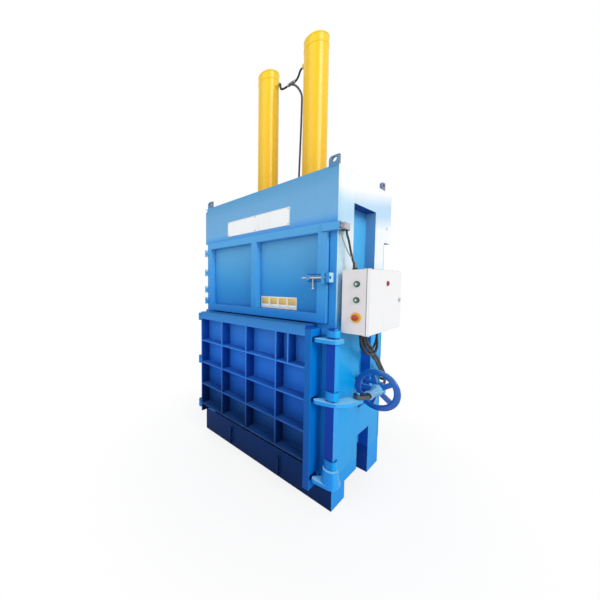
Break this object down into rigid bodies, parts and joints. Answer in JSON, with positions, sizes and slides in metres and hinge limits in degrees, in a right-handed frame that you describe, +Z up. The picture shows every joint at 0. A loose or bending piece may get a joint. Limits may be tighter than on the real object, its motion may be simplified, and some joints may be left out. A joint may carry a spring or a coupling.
{
  "type": "vertical recycling baler",
  "caption": "Blue upright recycling baler with yellow press cylinders, a feed door over a ribbed main door, a claw lock with a handwheel and a side control cabinet.",
  "frame": {"origin": "on the floor, at the centre of the four anchor holes under the body", "axes": "+Z up, -Y out of the front with the doors, +X towards the side with the lock and the cabinet"},
  "size_m": [1.815, 1.17, 3.864],
  "materials": {
    "deep_blue_paint": "satin",
    "blue_paint": "satin",
    "light_blue_paint": "satin",
    "white_plate": "gloss",
    "cream_plate": "satin",
    "yellow_paint": "gloss",
    "bright_steel": "brushed",
    "rod_chrome": "polished",
    "pipe_steel": "satin",
    "dark_steel": "satin",
    "motor_paint": "satin",
    "black_rubber": "matt",
    "grey_paint": "satin",
    "black_plastic": "matt",
    "grey_plastic": "satin",
    "yellow_plastic": "gloss",
    "red_plastic": "gloss",
    "green_plastic": "gloss"
  },
  "bodies": {
    "frame": {"base_frame": "deep_blue_paint", "left_wall": "blue_paint", "right_wall": "blue_paint", "rear_wall": "blue_paint", "header_plate": "light_blue_paint", "front_sill": "deep_blue_paint", "crosshead": "blue_paint", "power_deck": "deep_blue_paint", "rear_panel": "blue_paint", "lifting_lugs": "light_blue_paint", "header_name_plate": "white_plate", "lock_bearings": "blue_paint", "hinge_brackets": "deep_blue_paint", "bolt_keeper": "deep_blue_paint", "screw_bracket": "deep_blue_paint", "left_barrel": "yellow_paint", "right_barrel": "yellow_paint", "rod_glands": "bright_steel", "flange_bolts": "bright_steel", "oil_tank": "deep_blue_paint", "pump_motor": "motor_paint", "oil_pump": "dark_steel", "valve_block": "bright_steel", "riser_pipe": "pipe_steel", "tee_fitting": "dark_steel", "hoses": "black_rubber", "cabinet_shell": "grey_paint", "cabinet_brackets": "blue_paint", "switchgear": "black_plastic", "stop_ring": "yellow_plastic", "cable_glands": "black_plastic", "switch_cables": "black_rubber", "power_cables": "black_rubber", "limit_switch": "grey_plastic"},
    "ram": {"platen": "deep_blue_paint", "left_rod": "rod_chrome", "right_rod": "rod_chrome"},
    "feed_door": {"feed_door_frame": "light_blue_paint", "feed_door_sheet": "light_blue_paint", "interlock_arm": "blue_paint", "door_name_plate": "cream_plate"},
    "latch": {"latch_bolt": "bright_steel"},
    "main_door": {"main_door_plate": "blue_paint", "main_door_ribs": "blue_paint", "lock_post": "blue_paint", "main_door_hinges": "blue_paint"},
    "lock": {"lock_shaft": "deep_blue_paint", "top_claw": "blue_paint", "middle_claw": "blue_paint", "bottom_claw": "blue_paint"},
    "swivel": {"swivel_block": "deep_blue_paint"},
    "screw": {"clamp_screw": "bright_steel"},
    "wheel": {"handwheel": "deep_blue_paint"},
    "cabinet_lid": {"cabinet_door": "grey_paint", "signal_lamp": "red_plastic"},
    "lid_lock": {"cabinet_lock": "black_plastic"},
    "up_push": {"up_button": "green_plastic"},
    "down_push": {"down_button": "green_plastic"},
    "stop_push": {"stop_button": "red_plastic"},
    "plunger": {"switch_plunger": "bright_steel"}
  },
  "joints": [
    {"name": "ram_press", "type": "slide", "parent": "frame", "child": "ram", "axis": [0, 0, -1], "range_m": [0, 1.25]},
    {"name": "feed_door_swing", "type": "hinge", "parent": "frame", "child": "feed_door", "pos_m": [-0.691, -0.48, 1.735], "axis": [0, 0, 1], "range_deg": [-120, 0]},
    {"name": "latch_slide", "type": "slide", "parent": "feed_door", "child": "latch", "axis": [1, 0, 0], "range_m": [0, 0.03]},
    {"name": "main_door_swing", "type": "hinge", "parent": "frame", "child": "main_door", "pos_m": [-0.69, -0.545, 0.843], "axis": [0, 0, 1], "range_deg": [-175, 0]},
    {"name": "lock_turn", "type": "hinge", "parent": "frame", "child": "lock", "pos_m": [0.764, -0.489, 0.85], "axis": [0, 0, 1], "range_deg": [-30, 0]},
    {"name": "screw_swivel", "type": "hinge", "parent": "frame", "child": "swivel", "pos_m": [0.91, -0.04, 0.868], "axis": [0, 0, 1], "range_deg": [0, 14]},
    {"name": "screw_travel", "type": "slide", "parent": "swivel", "child": "screw", "axis": [0, -1, 0], "range_m": [0, 0.07]},
    {"name": "wheel_turn", "type": "hinge", "parent": "swivel", "child": "wheel", "pos_m": [0.91, -0.087, 0.868], "axis": [0, 1, 0], "range_deg": [0, 1085]},
    {"name": "cabinet_swing", "type": "hinge", "parent": "frame", "child": "cabinet_lid", "pos_m": [0.961, -0.421, 1.541], "axis": [0, 0, 1], "range_deg": [-110, 0]},
    {"name": "lid_lock_turn", "type": "hinge", "parent": "cabinet_lid", "child": "lid_lock", "pos_m": [0.965, 0.143, 1.54], "axis": [1, 0, 0], "range_deg": [0, 90]},
    {"name": "up_press", "type": "slide", "parent": "frame", "child": "up_push", "axis": [0, 1, 0], "range_m": [0, 0.0025], "stiffness_N_per_m": 800},
    {"name": "down_press", "type": "slide", "parent": "frame", "child": "down_push", "axis": [0, 1, 0], "range_m": [0, 0.0025], "stiffness_N_per_m": 800},
    {"name": "stop_press", "type": "slide", "parent": "frame", "child": "stop_push", "axis": [0, 1, 0], "range_m": [0, 0.005], "stiffness_N_per_m": 800},
    {"name": "plunger_press", "type": "slide", "parent": "frame", "child": "plunger", "axis": [0, 1, 0], "range_m": [0, 0.005], "stiffness_N_per_m": 400}
  ],
  "couplings": [
    {"joint": "screw_swivel", "follows": "lock_turn", "ratio": -0.44},
    {"joint": "screw_travel", "follows": "lock_turn", "m_per_rad": -0.1315},
    {"joint": "wheel_turn", "follows": "lock_turn", "ratio": -36}
  ]
}
